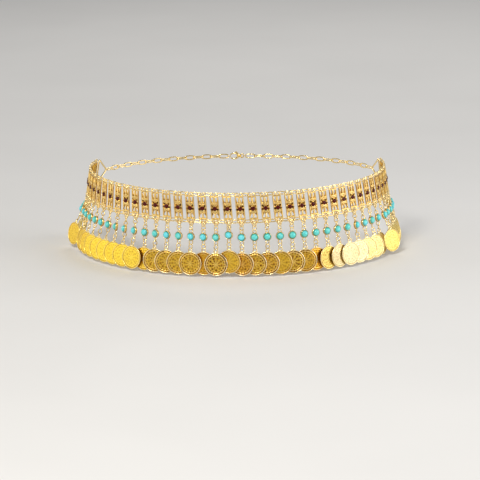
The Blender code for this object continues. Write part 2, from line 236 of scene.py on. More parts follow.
# Colours of the gold: a pale painted glare and a reddish painted shade for whole coins, a brown
# painted shade in hollows, cloudy patches, and a pale painted highlight on rims, crests and wires
GLARE_GOLD = (0.96, 0.83, 0.47, 1.0)
SHADED_RED_GOLD = (0.86, 0.46, 0.03, 1.0)
BROWN_GOLD = (0.45, 0.20, 0.025, 1.0)
CLOUDED_GOLD = (0.95, 0.92, 0.86, 1.0)
HIGHLIGHT_GOLD = (1.0, 0.87, 0.55, 1.0)
# How much pale painted highlight wires and lugs get
WIRE_HIGHLIGHT = 0.55
LUG_HIGHLIGHT = 0.6

# The stage: half the floor's side, the daylight, the point that the lights look at, and each
# light's name, place, size, strength and colour
FLOOR_REACH = 14.0
DAYLIGHT = (0.86, 0.87, 0.89, 1.0)
DAYLIGHT_STRENGTH = 0.32
LIT_POINT = (0.0, 0.0, -0.02)
LIGHTS = (
    ("key light", (-0.5, -1.4, 1.3), (0.6, 0.45), 22.0, (1.0, 0.97, 0.92)),
    ("window light", (1.25, -0.4, 0.36), (1.5, 0.7), 10.9, (0.98, 0.98, 1.0)),
    ("left light", (-1.3, -0.1, 0.2), (2.1, 0.5), 4.9, (1.0, 0.98, 0.9)),
    ("back light", (0.2, 1.4, 1.0), (1.0, 0.5), 5.0, (1.0, 0.98, 0.95)),
)

STRETCHES = [range(first, first + UNITS_IN_STRETCH) for first in range(0, UNITS, UNITS_IN_STRETCH)]
STRETCH_NODES = [f"panels_and_drops_{number + 1:02d}" for number in range(len(STRETCHES))]
TURQUOISE_NODES = [f"turquoise_{unit + 1:02d}" for unit in range(UNITS)]

# Points, faces of four corners where a triangle repeats one, and marks: a value for each point
Shape = namedtuple("Shape", "points faces marks")
# Frames standing on the waist: origins, and their directions across, up and facing out
Seats = namedtuple("Seats", "origins axes")


# The waist


def waist_table():
    """Arc length against angle round the two half ellipses, from the middle of the front."""
    turn = np.radians(np.linspace(-200.0, 200.0, 16001))
    depth = np.where(np.abs(turn) < math.pi / 2, WAIST_FRONT_DEPTH, WAIST_BACK_DEPTH)
    x = WAIST_HALF_WIDTH * np.sin(turn)
    y = -depth * np.cos(turn)
    length = np.concatenate(([0.0], np.cumsum(np.hypot(np.diff(x), np.diff(y)))))
    return turn, length - np.interp(0.0, turn, length)


WAIST_TURN, WAIST_LENGTH = waist_table()
HALF_WAIST = float(np.interp(math.pi, WAIST_TURN, WAIST_LENGTH))


def waist_axes(s):
    """Points of the waist at lengths s, the directions out of it and up it, and the drops' lean.

    A point is (half width times the sine, minus depth times the cosine) of its angle. The way out
    is the level normal tipped up by the flare, which grows with the square of the sine, and so does
    the lean of the drops over the hips.
    """
    turn = np.interp(s, WAIST_LENGTH, WAIST_TURN)
    depth = np.where(np.abs(turn) < math.pi / 2, WAIST_FRONT_DEPTH, WAIST_BACK_DEPTH)
    level = np.zeros_like(turn)
    point = np.stack((WAIST_HALF_WIDTH * np.sin(turn), -depth * np.cos(turn), level), -1)
    along = np.stack((WAIST_HALF_WIDTH * np.cos(turn), depth * np.sin(turn), level), -1)
    along = unit_length(along)
    level_out = np.stack((along[..., 1], -along[..., 0], level), -1)
    flare = (FRONT_FLARE + (SIDE_FLARE - FRONT_FLARE) * np.sin(turn) ** 2)[..., None]
    rise = np.array((0.0, 0.0, 1.0))
    out = level_out * np.cos(flare) + rise * np.sin(flare)
    up = rise * np.cos(flare) - level_out * np.sin(flare)
    hip = math.tan(HIP_FLARE) * np.sin(turn) ** 2
    return point, out, up, hip


def leaning(s, h):
    """Panels lean with their feet to the right, and what hangs below them hangs straight."""
    lean = LEAN + LEAN_CHANGE * s / (UNITS * PITCH / 2)
    return s - np.tan(lean) * np.maximum(h, LEAN_FOOT)


def surface(s, h, d):
    """Points at s along the waist, h up it and d out of it, with the drops' lean added."""
    s, h, d = np.broadcast_arrays(s, h, d)
    point, out, up, hip = waist_axes(s)
    return point + up * h[..., None] + out * (d + hip * np.maximum(HIP_LEVEL - h, 0.0))[..., None]


def lay(s, h, d):
    """Points laid on the waist, with the lean of the panels."""
    return surface(leaning(s, h), h, d)


def unit_place(unit):
    return (np.asarray(unit, float) - (UNITS - 1) / 2) * PITCH + BAND_SHIFT


def unit_length(rows):
    return rows / np.linalg.norm(rows, axis=-1, keepdims=True)


def seats(s, h, d, turn=0.0, roll=0.0, tip=0.0, off=0.0):
    """Frames on the waist: turned about their upright line, rolled about the way that they face,
    and tipped forward about their level line, all in radians and in that order. Off is how far
    the last ring of a leaning drop stands off, which grows evenly from the top of the drop."""
    given = np.broadcast_arrays(s, h, d, turn, roll, tip, off)
    s, h, d, turn, roll, tip, off = (np.ravel(values) for values in given)
    s = leaning(s, h)

    def place(step):
        share = np.clip((DROP_TOP - h - step) / (DROP_TOP - DROP_END), 0.0, 1.0)
        return surface(s, h + step, d + off * share)

    along = unit_length(surface(s + STEP, h, d) - surface(s - STEP, h, d))
    out = unit_length(np.cross(along, place(STEP) - place(-STEP)))
    across, facing = turned_pair(along, out, turn)
    across, up = turned_pair(across, np.cross(out, along), roll)
    up, facing = turned_pair(up, facing, tip)
    return Seats(place(0.0), np.stack((across, up, facing), 1))


def turned_pair(first, second, angle):
    """Two square directions turned in their own plane, the first towards the second."""
    cosine = np.cos(angle)[:, None]
    sine = np.sin(angle)[:, None]
    return first * cosine + second * sine, second * cosine - first * sine


# Coins and drops in their places


def by_unit(given):
    """An array of one value for each unit, 0 where none is given."""
    return np.array([given.get(unit, 0.0) for unit in range(UNITS)])


def coin_sets():
    """How far each coin turns about its upright line, and how far it is pushed out or in, by
    whether it lies on or under the coins beside it."""
    laps = np.where(np.array(list(COIN_LAPS)) == ">", 1, -1)
    before = np.append(laps[0], laps)
    after = np.append(laps, laps[-1])
    rise = (after - before) / 2
    push = COIN_STAND + np.where(rise > 0, COIN_RISE, COIN_SINK) * rise
    return COIN_TURN * (before + after) / 2 + np.radians(by_unit(COIN_SWUNG)), push


COIN_TURNS, COIN_PUSH = coin_sets()
STONE_TURNS = np.radians(by_unit(FACED | SWUNG))
LIFT = by_unit(CAUGHT_UP)
STAND_OFF = by_unit(LEANS_OUT)


def drop_seats(level, turn, push=0.0, roll=0.0, lift_share=1.0):
    """Seats of one thing on every drop, shifted with what the drop is caught up by."""
    height = level + LIFT * lift_share
    s = unit_place(np.arange(UNITS))
    return seats(s, height, SHEET / 2 + push, turn, roll, off=STAND_OFF)


# Shapes


def grid_faces(rows, columns, wrap=False):
    """Faces between the points of a grid, counted row by row, running on round where it wraps."""
    here = np.arange(columns if wrap else columns - 1)[None, :]
    after = (here + 1) % columns
    row = np.arange(rows - 1)[:, None] * columns
    cells = (row + here, row + after, row + columns + after, row + columns + here)
    return np.stack(np.broadcast_arrays(*cells), -1).reshape(-1, 4)


def outward(shape):
    """The shape with its faces turned outwards, by the sign of the volume that they close in."""
    a, b, c, d = (shape.points[shape.faces[:, corner]] for corner in range(4))
    volume = np.sum(a * (np.cross(b, c) + np.cross(c, d)))
    return shape if volume > 0 else shape._replace(faces=shape.faces[:, ::-1])


def joined(shapes):
    """Several shapes as one, each one's faces counted on from the points before it."""
    starts = np.cumsum([0] + [len(shape.points) for shape in shapes])
    marks = {}
    for name in {name for shape in shapes for name in shape.marks}:
        filled = [np.broadcast_to(one.marks.get(name, 0.0), len(one.points)) for one in shapes]
        marks[name] = np.concatenate(filled)
    points = np.concatenate([shape.points for shape in shapes])
    faces = np.concatenate([shape.faces + start for shape, start in zip(shapes, starts)])
    return Shape(points, faces, marks)


def repeated(shape, places):
    """The shape set on each seat: a point is the origin plus its x across, y up and z facing."""
    points = np.einsum("nj,kji->kni", shape.points, places.axes) + places.origins[:, None, :]
    count = len(places.origins)
    steps = np.arange(count)[:, None, None] * len(shape.points)
    marks = {name: np.tile(values, count) for name, values in shape.marks.items()}
    return Shape(points.reshape(-1, 3), (shape.faces[None] + steps).reshape(-1, 4), marks)


def on_rows(values, rows, sides):
    """A value for each row, or values for each point already, spread over rows and sides."""
    values = np.asarray(values, float)
    return np.broadcast_to(values[:, None] if values.ndim == 1 else values, (rows, sides))


def turned(radius, level, sides, recess=0.0):
    """A surface turned about the facing line: row by row a radius and a level, and round each row
    equal steps of angle. The first and the last row are single points, and close it."""
    angle = 2 * math.pi * np.arange(sides) / sides
    rows = len(radius)
    radius, level, recess = (on_rows(values, rows, sides) for values in (radius, level, recess))
    skin = np.stack((radius * np.cos(angle), radius * np.sin(angle), level), -1)[1:-1]
    poles = np.array(((0.0, 0.0, level[0, 0]), (0.0, 0.0, level[-1, 0])))
    points = np.concatenate((skin.reshape(-1, 3), poles))
    pole = np.full(sides, len(points) - 2)
    here = np.arange(sides)
    after = (here + 1) % sides
    last = (rows - 3) * sides
    start = np.stack((pole, after, here, here), -1)
    finish = np.stack((pole + 1, last + here, last + after, last + after), -1)
    faces = np.concatenate((grid_faces(rows - 2, sides, True), start, finish))
    mark = np.concatenate((recess[1:-1].ravel(), recess[[0, -1], 0]))
    return outward(Shape(points, faces, {"recess": mark}))


def wire_loop(path, wire, section=6):
    """A closed wire: a circle of its radius carried round a flat path, in the plane of the path's
    own normal and the facing line. The wire may be one radius or one for each point."""
    along = unit_length(np.roll(path, -1, 0) - np.roll(path, 1, 0))
    normal = np.stack((along[:, 1], -along[:, 0]), -1)
    angle = 2 * math.pi * (np.arange(section) + 0.5) / section
    radius = np.broadcast_to(wire, len(path))[:, None]
    flat = path[:, None, :] + normal[:, None, :] * (radius * np.cos(angle))[..., None]
    height = radius * np.sin(angle)
    points = np.concatenate((flat, height[..., None]), -1).reshape(-1, 3)
    rows = len(path)
    faces = grid_faces(rows + 1, section, True) % (rows * section)
    # Wires get no painted shade, and a pale painted highlight all over
    marks = {"recess": np.zeros(len(points)), "worn": np.full(len(points), WIRE_HIGHLIGHT)}
    return outward(Shape(points, faces, marks))


def oval(half_width, half_height, around=12, power=2.0):
    """A flat oval path: cosine and sine, drawn out to fuller sides by a power above 2."""
    turn = 2 * math.pi * np.arange(around) / around
    x = half_width * np.sign(np.cos(turn)) * np.abs(np.cos(turn)) ** (2 / power)
    y = half_height * np.sign(np.sin(turn)) * np.abs(np.sin(turn)) ** (2 / power)
    return np.stack((x, y), -1)


def rounded(corners, per_side, softness):
    """A closed path through corners: points at equal steps of each side, then averaged with their
    neighbours as often as softness says, which rounds the corners off."""
    share = (np.arange(per_side) / per_side)[:, None, None]
    path = corners * (1 - share) + np.roll(corners, -1, 0) * share
    path = path.transpose(1, 0, 2).reshape(-1, 2)
    for _ in range(softness):
        path = (np.roll(path, 1, 0) + 2 * path + np.roll(path, -1, 0)) / 4
    return path


def dome(rows, foot, base, width_power, height_power):
    """Radii and levels of a dome, as shares of its own radius and height, from a flat foot up."""
    tilt = np.linspace(0.0, math.pi / 2, rows)
    radius = np.concatenate(([0.0, foot], np.cos(tilt[:-1]) ** width_power, [0.0]))
    return radius, np.concatenate(([base, base], np.sin(tilt) ** height_power))


def ball(half_width, half_height, rows, sides):
    """A flattened ball, by the cosine and the sine of its tilt."""
    tilt = np.linspace(-math.pi / 2, math.pi / 2, rows)
    return turned(np.cos(tilt) * half_width, np.sin(tilt) * half_height, sides)


def shifted(shape, size, shift):
    """The shape scaled along its axes, and then shifted."""
    return shape._replace(points=shape.points * size + shift)


def laid(shape):
    """A shape drawn in s, h and d, laid on the waist."""
    return shape._replace(points=lay(*shape.points.T))


def ridge(distance, width):
    """A rounded ridge: 1 on its line, falling off as a bell curve."""
    return np.exp(-((distance / width) ** 2))


# Meshes and materials


def add_object(name, data):
    made = bpy.data.objects.new(name, data)
    bpy.context.scene.collection.objects.link(made)
    return made


def add_piece(name, shape, material, nodes, sharp):
    """The shape as an object in the scene, riding on the chain in place of its CAD nodes."""
    corner = shape.faces != np.roll(shape.faces, 1, axis=1)
    counts = corner.sum(1)
    mesh = bpy.data.meshes.new(name)
    mesh.vertices.add(len(shape.points))
    mesh.vertices.foreach_set("co", shape.points.astype(np.float32).ravel())
    mesh.loops.add(int(counts.sum()))
    mesh.loops.foreach_set("vertex_index", shape.faces[corner].astype(np.int32))
    mesh.polygons.add(len(counts))
    mesh.polygons.foreach_set("loop_start", (np.cumsum(counts) - counts).astype(np.int32))
    mesh.update(calc_edges=True)
    for mark, values in shape.marks.items():
        layer = mesh.attributes.new(mark, "FLOAT", "POINT")
        layer.data.foreach_set("value", np.asarray(values, np.float32))
    mesh.polygons.foreach_set("use_smooth", np.ones(len(counts), bool))
    mesh.set_sharp_from_angle(angle=math.radians(sharp))
    if mesh.validate():
        raise RuntimeError(f"{name} has faces that make no mesh")
    mesh.materials.append(material)
    piece = add_object(name, mesh)
    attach(piece, "root")
    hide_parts(*nodes)


def fill(tree, node, inputs):
    """The node with its inputs set to values, or linked to the outputs of other nodes."""
    for key, value in inputs.items():
        if isinstance(value, bpy.types.NodeSocket):
            tree.links.new(value, node.inputs[key])
        else:
            node.inputs[key].default_value = value
    return node


def add_node(tree, kind, inputs, **settings):
    made = tree.nodes.new(kind)
    for name, value in settings.items():
        setattr(made, name, value)
    return fill(tree, made, inputs)


def mixed(tree, factor, first, second, blend="MIX"):
    """The colour between two, or the second blended over the first, by a factor."""
    inputs = {0: factor, 6: first, 7: second}
    return add_node(tree, "ShaderNodeMix", inputs, data_type="RGBA", blend_type=blend).outputs[2]


def ranged(tree, value, low, high, to_low=0.0, to_high=1.0):
    """The value carried from one range to another, and kept inside it."""
    inputs = dict(enumerate((value, low, high, to_low, to_high)))
    return add_node(tree, "ShaderNodeMapRange", inputs).outputs["Result"]


def marked(tree, name):
    """The value of one of the surface's own marks."""
    return add_node(tree, "ShaderNodeAttribute", {}, attribute_name=name).outputs["Fac"]


def noise(tree, scale, detail=3.0):
    place = add_node(tree, "ShaderNodeTexCoord", {}).outputs["Object"]
    inputs = {"Vector": place, "Scale": scale, "Detail": detail}
    return add_node(tree, "ShaderNodeTexNoise", inputs).outputs["Fac"]


def new_material(name):
    made = bpy.data.materials.new(name)
    made.use_nodes = True
    return made, made.node_tree, made.node_tree.nodes["Principled BSDF"]


def gold_material(name, bright, deep, roughness, with_painted_light=False):
    """Gold plate: painted shade in the hollows goes through brown to the deep colour, unevenly,
    cloudy patches vary the rest, and faint hammered unevenness breaks the shine. Where its
    highlight mark says so, on rims, crests and wires, it gets a pale painted highlight. Where
    painted light is asked for, it also runs from a pale painted glare to a reddish painted shade
    by that mark."""
    made, tree, shader = new_material(name)
    # Painted shade in the hollows, broken up unevenly by noise
    recess = marked(tree, "recess")
    shade_breakup = ranged(tree, noise(tree, 520.0), 0.35, 0.65, 0.55, 1.4)
    broken_shade = add_node(tree, "ShaderNodeMath", {0: recess, 1: shade_breakup}, operation="MULTIPLY")
    recess = broken_shade.outputs[0]
    base = (*bright, 1.0)
    # Painted light for a whole piece: a pale painted glare below a mark of 0.4, a reddish painted
    # shade above it
    if with_painted_light:
        tone = marked(tree, "tone")
        base = mixed(tree, ranged(tree, tone, 0.1, 0.4), GLARE_GOLD, base)
        base = mixed(tree, ranged(tree, tone, 0.4, 0.8), base, SHADED_RED_GOLD)
    clouds = ranged(tree, noise(tree, 170.0), 0.35, 0.65)
    base = mixed(tree, clouds, base, CLOUDED_GOLD, "MULTIPLY")
    # Pale painted highlight on rims, crests and wires
    base = mixed(tree, marked(tree, "worn"), base, HIGHLIGHT_GOLD)
    # Painted shade in the hollows: brown first, then the deep colour
    base = mixed(tree, ranged(tree, recess, 0.0, 0.6), base, BROWN_GOLD)
    base = mixed(tree, ranged(tree, recess, 0.6, 1.0), base, (*deep, 1.0))
    fine = noise(tree, 900.0)
    rough = ranged(tree, fine, 0.3, 0.7, roughness - 0.06, roughness + 0.1)
    uneven = {"Height": fine, "Strength": 0.35, "Distance": 0.12 * MM}
    normal = add_node(tree, "ShaderNodeBump", uneven).outputs["Normal"]
    finish = {"Base Color": base, "Metallic": 1.0, "Roughness": rough, "Normal": normal}
    fill(tree, shader, finish)
    return made


def plate(context, name, roughness):
    """Gold in the colours of the panels and the rings."""
    colours = context.scene.waist_chain_panels
    return gold_material(name, colours.gold, colours.hollow_shade, roughness)


def turquoise_material(name, colour, vein_and_edge_shade):
    """Turquoise: from greener to bluer from stone to stone, with soft paler clouds, a few dark
    veins and a glassy polish, and a painted shade, darker and greener, towards the setting by its
    shade mark."""
    made, tree, shader = new_material(name)
    hue = ranged(tree, noise(tree, 60.0, 0.0), 0.42, 0.58)
    greener = (colour[0], colour[1] * 0.94, colour[2] * 0.74, 1.0)
    base = mixed(tree, hue, greener, (*colour, 1.0))
    clouds = ranged(tree, noise(tree, 420.0, 4.0), 0.4, 0.7, 0.0, 0.3)
    base = mixed(tree, clouds, base, (0.45, 0.95, 1.0, 1.0))
    veins = ranged(tree, noise(tree, 750.0, 6.0), 0.64, 0.72, 0.0, 0.45)
    base = mixed(tree, veins, base, (*vein_and_edge_shade, 1.0))
    # Painted shade towards the setting, in the colour of the veins
    base = mixed(tree, marked(tree, "recess"), base, (*vein_and_edge_shade, 1.0))
    fill(tree, shader, {
        "Base Color": base,
        "Roughness": 0.34,
        "Coat Weight": 0.4,
        "Coat Roughness": 0.16,
        "Subsurface Weight": 0.12,
        "Subsurface Radius": (0.4 * MM, 1.2 * MM, 1.2 * MM),
    })
    return made


def mottled_material(name, colour, scale, share, finish):
    """A colour that wanders to a darker share of itself, with the given finish."""
    made, tree, shader = new_material(name)
    cloud = ranged(tree, noise(tree, scale, 2.0), 0.3, 0.7)
    darker = tuple(channel * share for channel in colour)
    base = mixed(tree, cloud, (*colour, 1.0), (*darker, 1.0))
    fill(tree, shader, {"Base Color": base, **finish})
    return made


# Properties


ANGLE = {"subtype": "ANGLE", "unit": "ROTATION"}


def number_property(name, description, default, **kind):
    return bpy.props.FloatProperty(name=name, description=description, default=default, **kind)


def length_property(name, description, default, least=0.0):
    kind = {"min": least, "precision": 5, "subtype": "DISTANCE", "unit": "LENGTH"}
    return number_property(name, description, default, **kind)


def colour_property(name, description, default):
    return bpy.props.FloatVectorProperty(
        name=name, description=description, default=default, size=3, min=0.0, max=1.0,
        subtype="COLOR",
    )


def count_property(name, description, default, least):
    return bpy.props.IntProperty(name=name, description=description, default=default, min=least)


class PanelSettings(bpy.types.PropertyGroup):
    relief: length_property("Relief", "Height of the scrolls above the panel's floor", 0.5 * MM)
    eyelet_wire: length_property("Eyelet wire", "Radius of the wire of a panel's rings", 0.52 * MM)
    gold: colour_property("Gold", "Colour of the panels and the rings", (0.88, 0.57, 0.10))
    # Hollow: colour of the painted shade in the hollows of the panels and rings
    hollow_shade: colour_property("Hollow", "Colour of the gold in its hollows", (0.035, 0.010, 0.002))


class StoneSettings(bpy.types.PropertyGroup):
    red_half_width: length_property("Red half width", "Half a red stone's width", 1.98 * MM)
    red_half_height: length_property("Red half height", "Half a red stone's height", 2.02 * MM)
    red_dome: length_property("Red stone dome", "Height of a red stone's dome", 0.95 * MM)
    turquoise_radius: length_property("Turquoise radius", "Radius of a turquoise stone", 3.05 * MM)
    turquoise_dome: length_property("Turquoise dome", "Height of a turquoise dome", 2.6 * MM)
    bezel_radius: length_property("Bezel radius", "Outer radius of a bezel cup", 3.8 * MM)
    red: colour_property("Red stone", "Colour of the red stones", (0.10, 0.004, 0.001))
    turquoise: colour_property("Turquoise", "Colour of the turquoise", (0.09, 0.69, 0.80))
    # Vein: also the colour of the painted shade at a turquoise's edge
    vein_and_edge_shade: colour_property("Vein", "Colour of the veins in the turquoise", (0.02, 0.25, 0.18))


class RingSettings(bpy.types.PropertyGroup):
    wire: length_property("Wire", "Radius of the wire of the drop rings", 0.47 * MM)
    link_wire: length_property("Link wire", "Radius of the wire of a panel's links", 0.54 * MM)


class CoinSettings(bpy.types.PropertyGroup):
    radius: length_property("Radius", "Radius of a coin", 10.25 * MM)
    thickness: length_property("Thickness", "Thickness of a coin at its rim", 0.9 * MM)
    relief: length_property("Relief", "Height of the deepest coin's design", 0.55 * MM)
    teeth: count_property("Teeth", "Teeth round the border", 24, 6)
    petals: count_property("Petals", "Petals of the rosette", 8, 3)
    gold: colour_property("Gold", "Colour of the coins", (0.96, 0.70, 0.07))
    # Hollow: colour of the painted shade in the coins' hollows
    hollow_shade: colour_property("Hollow", "Colour of the coins' hollows", (0.11, 0.04, 0.004))


class ClosingSettings(bpy.types.PropertyGroup):
    wire: length_property("Chain wire", "Radius of the wire of the closing chain", 0.62 * MM)
    yoke_wire: length_property("Yoke wire", "Radius of the wire of the yokes", 0.75 * MM)


class StageSettings(bpy.types.PropertyGroup):
    distance: length_property("Camera distance", "From the camera to the middle of the waist", 2.6)
    elevation: number_property("Elevation", "Height of the view", math.radians(12.18), **ANGLE)
    roll: number_property("Roll", "Turn of the picture", math.radians(-0.64), **ANGLE)
    lens: number_property("Lens", "Focal length in mm", 213.7, min=1.0)
    aim: bpy.props.FloatVectorProperty(
        name="Aim", description="Point that the camera looks at, right of and above the middle",
        size=2, default=(0.00184, -0.05624), unit="LENGTH", subtype="XYZ",
    )
    floor_level: length_property("Floor level", "Height of the floor", -0.0605, -1.0)
    floor: colour_property("Floor", "Colour of the floor", (0.80, 0.79, 0.77))
    light: number_property("Light", "Strength of all lights", 1.0, min=0.0)


# Pieces


def panel_rows():
    """Heights of a panel's rows, and which of the gaps between them lie in a window."""
    starts, counts, is_open = zip(*PANEL_ROWS)
    ends = (*starts[1:], PANEL_TOP_MM)
    parts = [np.linspace(*part, endpoint=False) for part in zip(starts, ends, counts)]
    return np.append(np.concatenate(parts), PANEL_TOP_MM), np.repeat(is_open, counts) == 1


def panel_relief(s, h, parting, gap):
    """Height of a panel's face above its floor, as a share of its relief, and how much painted
    shade it gets.

    The height is the highest of several rounded ridges: the side rails, the lips of the windows,
    the bands at head and foot, the stem, the petal's rib, the scrolls, the buds and the collar of
    the stone. Blind holes are sunk into it. The painted shade grows where the face lies low, and is
    deepest in the blind holes.
    """
    side = np.abs(s)
    window = np.clip((gap - 0.1) / 0.3, 0.0, 1.0)
    parts = [
        0.85 * ridge(side - (PANEL_HALF_WIDTH_MM - 0.5), 0.42),
        0.7 * ridge(side - (parting + gap + 0.28), 0.26) * window,
        0.8 * ridge(side - (parting - gap - 0.25), 0.26) * window,
        0.8 * ridge(h - (PANEL_TOP_MM - 0.5), 0.42),
        0.8 * ridge(h + 9.1, 0.5),
        ridge(s, 0.45) * ((h < -4.0) & (h > -8.6)),
        0.9 * ridge(s, 0.6) * ((h > 5.2) & (h < 9.9)),
        0.9 * ridge(np.hypot(s, h) - 2.1, 0.24),
    ]
    for middle_s, middle_h, radius in SCROLLS:
        away = np.hypot(side - middle_s, h - middle_h)
        parts += [ridge(away - radius, 0.3), 0.9 * ridge(away, 0.35)]
    for middle_s, middle_h, radius in BUDS:
        parts.append(ridge(np.hypot(side - middle_s, h - middle_h), radius))
    height = np.maximum.reduce(parts)
    pit = np.zeros_like(height)
    for middle_s, middle_h, radius in PITS:
        away = np.hypot(side - middle_s, h - middle_h)
        pit = np.maximum(pit, np.clip((radius - away) / 0.2 + 0.5, 0.0, 1.0))
    # Painted shade: deeper where the face lies lower, deepest in the blind holes
    dark = np.clip(1.0 - height / 0.55, 0.0, 1.0) * 0.85
    return height * (1.0 - pit) - 1.2 * pit, np.maximum(dark, pit)


def pierced_sheet(front, back, is_kept, recess, worn):
    """A sheet between two grids of points. Each kept cell has a face on either side, and a wall
    closes it wherever its neighbour is cut away, or where the grid ends."""
    rows, columns = front.shape[:2]
    number = np.arange(rows * columns).reshape(rows, columns)
    count = rows * columns
    cells = np.stack((number[:-1, :-1], number[:-1, 1:], number[1:, 1:], number[1:, :-1]), -1)
    faces = [cells[is_kept], cells[is_kept][:, ::-1] + count]
    kept = np.pad(is_kept, 1)
    for axis, step, edge in ((1, 1, (3, 0)), (1, -1, (1, 2)), (0, 1, (0, 1)), (0, -1, (2, 3))):
        beside = np.roll(kept, step, axis)[1:-1, 1:-1]
        start, finish = cells[..., edge][is_kept & ~beside].T
        faces.append(np.stack((finish, start, start + count, finish + count), -1))
    points = np.concatenate((front.reshape(-1, 3), back.reshape(-1, 3)))
    faces = np.concatenate(faces)
    # The back face gets an even painted shade, which also darkens the walls towards the back
    recess = np.concatenate((recess.ravel(), np.full(count, 0.3)))
    worn = np.concatenate((worn.ravel(), np.zeros(count)))
    used, renumbered = np.unique(faces, return_inverse=True)
    marks = {"recess": recess[used], "worn": worn[used]}
    return Shape(points[used], renumbered.reshape(-1, 4), marks)


def panel_shape(middle, relief_height):
    """A filigree panel. Its columns run from side to side of each row, and step over the parting
    line on each side, which is cut away where a window is open."""
    rows, is_open = panel_rows()
    heights, partings, gaps = np.array(PARTING).T
    parting = np.interp(rows, heights, partings)
    gap = np.interp(rows, heights, gaps)
    rail = np.linspace(0.0, 1.0, RAIL_COLUMNS + 1)
    inner = np.linspace(-1.0, 1.0, MIDDLE_COLUMNS + 1)
    edge = (parting + gap)[:, None]
    right = edge + (PANEL_HALF_WIDTH_MM - edge) * rail
    s = np.concatenate((-right[:, ::-1], (parting - gap)[:, None] * inner, right), 1)
    h = np.broadcast_to(rows[:, None], s.shape)
    height, dark = panel_relief(s, h, parting[:, None], gap[:, None])
    rise = height * relief_height
    is_kept = np.ones((len(rows) - 1, s.shape[1] - 1), bool)
    is_kept[is_open, RAIL_COLUMNS] = False
    is_kept[is_open, RAIL_COLUMNS + MIDDLE_COLUMNS + 1] = False
    front = lay(middle + s * MM, h * MM, PANEL_FLOOR_MM * MM + rise)
    back = lay(middle + s * MM, h * MM, 0.12 * MM + 0.6 * np.maximum(rise, 0.0))
    # Pale painted highlight on the crests of the relief
    worn = 0.8 * np.clip((height - 0.55) / 0.35, 0.0, 1.0)
    return outward(pierced_sheet(front, back, is_kept, dark, worn))


def ring_pairs(units, pair, wire):
    """A ring on each side of the middle of every panel, mirrored, with the foot of each one sloping
    in towards the middle."""
    offset, level, turn, slope, half_width, half_height = pair
    ring = wire_loop(oval(half_width * MM, half_height * MM), wire, section=5)
    side = np.tile((-1.0, 1.0), len(units))
    s = np.repeat(unit_place(units), 2) + side * offset * MM
    return repeated(ring, seats(s, level * MM, SHEET / 2, side * turn, -side * slope))


class WAISTCHAIN_OT_filigree_panels(bpy.types.Operator):
    """Add the pierced panels with their edge rings, three to a stretch"""

    bl_idname = "waist_chain.filigree_panels"
    bl_label = "Filigree Panels"

    def execute(self, context):
        settings = context.scene.waist_chain_panels
        gold = plate(context, "filigree gold", roughness=0.34)
        for units, node in zip(STRETCHES, STRETCH_NODES):
            parts = [panel_shape(float(unit_place(unit)), settings.relief) for unit in units]
            for pair in (HEAD_RINGS, FOOT_RINGS):
                parts.append(ring_pairs(units, pair, settings.eyelet_wire))
            add_piece(f"filigree_panels_{node[-2:]}", joined(parts), gold, [node], sharp=62.0)
        return {"FINISHED"}


class WAISTCHAIN_OT_red_stones(bpy.types.Operator):
    """Add the red stone in the middle of each panel"""

    bl_idname = "waist_chain.red_stones"
    bl_label = "Red Stones"

    def execute(self, context):
        settings = context.scene.waist_chain_stones
        radius, level = dome(*RED_DOME)
        stone = turned(radius, level * settings.red_dome, sides=20)
        size = (settings.red_half_width, settings.red_half_height, 1.0)
        stone = shifted(stone, size, 0.0)
        places = seats(unit_place(np.arange(UNITS)), 0.0, (PANEL_FLOOR_MM + 0.2) * MM)
        polish = {"Roughness": 0.16, "Specular IOR Level": 0.22}
        red = mottled_material("red stone", settings.red, 900.0, 0.45, polish)
        shape = repeated(stone, places)
        add_piece("red_stones", shape, red, STRETCH_NODES, sharp=70.0)
        return {"FINISHED"}


class WAISTCHAIN_OT_link_rings(bpy.types.Operator):
    """Add the oval rings that join each panel to the next, above and below"""

    bl_idname = "waist_chain.link_rings"
    bl_label = "Link Rings"

    def execute(self, context):
        settings = context.scene.waist_chain_rings
        gold = plate(context, "link gold", roughness=0.24)
        path = oval(LINK_HALF_LENGTH_MM * MM, LINK_HALF_HEIGHT_MM * MM, 18)
        foot = path[:, 1] < 0
        share = np.abs(path[foot, 1] / path[:, 1].max()) ** LINK_FOOT_POWER
        path[foot, 1] = -LINK_FOOT_SHARE * LINK_HALF_HEIGHT_MM * MM * share
        link = wire_loop(path, settings.link_wire)
        between = unit_place(np.arange(UNITS - 1)) + PITCH / 2
        random = np.random.default_rng(11)
        shapes = []
        for level in (EYELET_TOP_MM, EYELET_FOOT_MM):
            tip = np.radians(random.uniform(*LINK_TIPS, UNITS - 1))
            roll = np.radians(random.uniform(*LINK_ROLLS, UNITS - 1))
            shapes.append(repeated(link, seats(between, level * MM, SHEET / 2, 0.0, roll, tip)))
        add_piece("link_rings", joined(shapes), gold, STRETCH_NODES, sharp=75.0)
        return {"FINISHED"}


